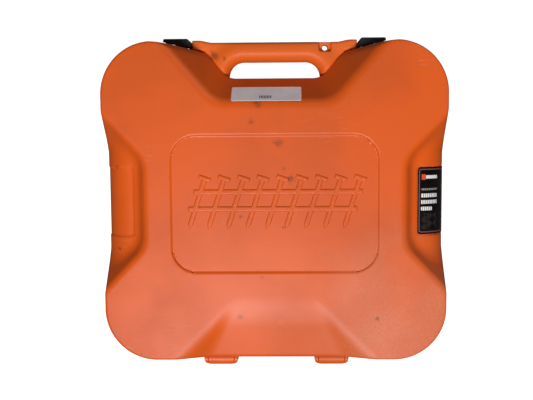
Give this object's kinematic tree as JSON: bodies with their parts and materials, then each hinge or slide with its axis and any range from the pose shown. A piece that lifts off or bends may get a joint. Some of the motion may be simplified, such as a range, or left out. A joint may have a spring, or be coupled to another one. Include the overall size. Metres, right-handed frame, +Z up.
{
  "type": "nailer carrying case",
  "caption": "Closed moulded plastic carrying case for a framing nailer, with a fixed handle, side latches, a hinged lid and a nest of moulded pockets inside.",
  "frame": {"origin": "centre of the bounding box at the floor, with the case lying on its back", "axes": "+X to the right along the width, +Y towards the handle, +Z up out of the lid"},
  "size_m": [0.45, 0.4444, 0.128],
  "materials": {
    "case_orange": "matte moulded",
    "liner_orange": "matte moulded",
    "handle_orange": "matte moulded",
    "latch_black": "satin moulded",
    "pin_steel": "plated",
    "label_black": "printed film",
    "sticker_grey": "metallised film"
  },
  "bodies": {
    "base": {"base_outer_shell": "case_orange", "base_inner_liner": "liner_orange", "base_handle_half": "handle_orange", "base_hinge_lug_left": "case_orange", "base_hinge_lug_right": "case_orange", "hinge_pin_left": "pin_steel", "hinge_pin_right": "pin_steel", "latch_bracket_left": "case_orange", "latch_bracket_right": "case_orange", "latch_pin_left": "pin_steel", "latch_pin_right": "pin_steel"},
    "lid": {"lid_outer_shell": "case_orange", "lid_inner_liner": "liner_orange", "lid_handle_half": "handle_orange", "lid_hinge_lug_left": "case_orange", "lid_hinge_lug_right": "case_orange", "keeper_left": "latch_black", "keeper_right": "latch_black", "side_label": "label_black", "top_label": "sticker_grey"},
    "latch_left": {"latch_left": "latch_black"},
    "latch_right": {"latch_right": "latch_black"}
  },
  "joints": [
    {"name": "lid_hinge", "type": "hinge", "parent": "base", "child": "lid", "pos_m": [0, -0.2131, 0.064], "axis": [1, 0, 0], "range_deg": [0, 180]},
    {"name": "latch_left_hinge", "type": "hinge", "parent": "base", "child": "latch_left", "pos_m": [-0.1245, 0.2164, 0.0367], "axis": [-1, 0, 0], "range_deg": [0, 100]},
    {"name": "latch_right_hinge", "type": "hinge", "parent": "base", "child": "latch_right", "pos_m": [0.1245, 0.2164, 0.0367], "axis": [-1, 0, 0], "range_deg": [0, 100]}
  ]
}
